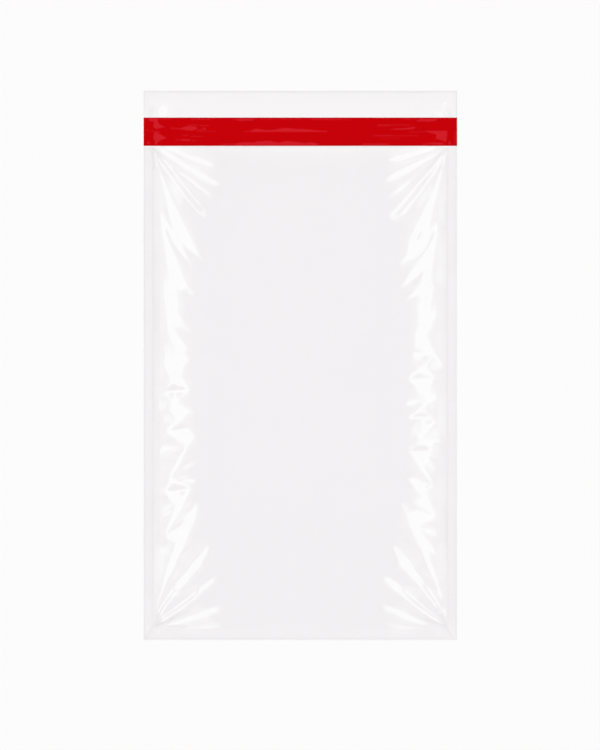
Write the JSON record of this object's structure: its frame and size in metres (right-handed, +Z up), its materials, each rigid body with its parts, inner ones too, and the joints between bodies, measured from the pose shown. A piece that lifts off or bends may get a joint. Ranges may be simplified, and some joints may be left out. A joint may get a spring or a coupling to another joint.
{
  "type": "self-seal cellophane bag",
  "caption": "Clear film bag, welded at the sides and open at the mouth, with a lip that carries an adhesive line under a red peel-off liner.",
  "frame": {"origin": "middle of the underside of the bag as it lies on its back", "axes": "+X across the bag, +Y from the bottom fold towards the lip, +Z up out of the front panel"},
  "size_m": [0.178, 0.312, 0.0071],
  "materials": {
    "clear_film": "clear gloss film",
    "clear_adhesive": "clear, tacky",
    "red_liner": "satin gloss film"
  },
  "bodies": {
    "root": {"film_pouch": "clear_film", "adhesive_strip": "clear_adhesive", "release_liner": "red_liner"}
  },
  "joints": []
}
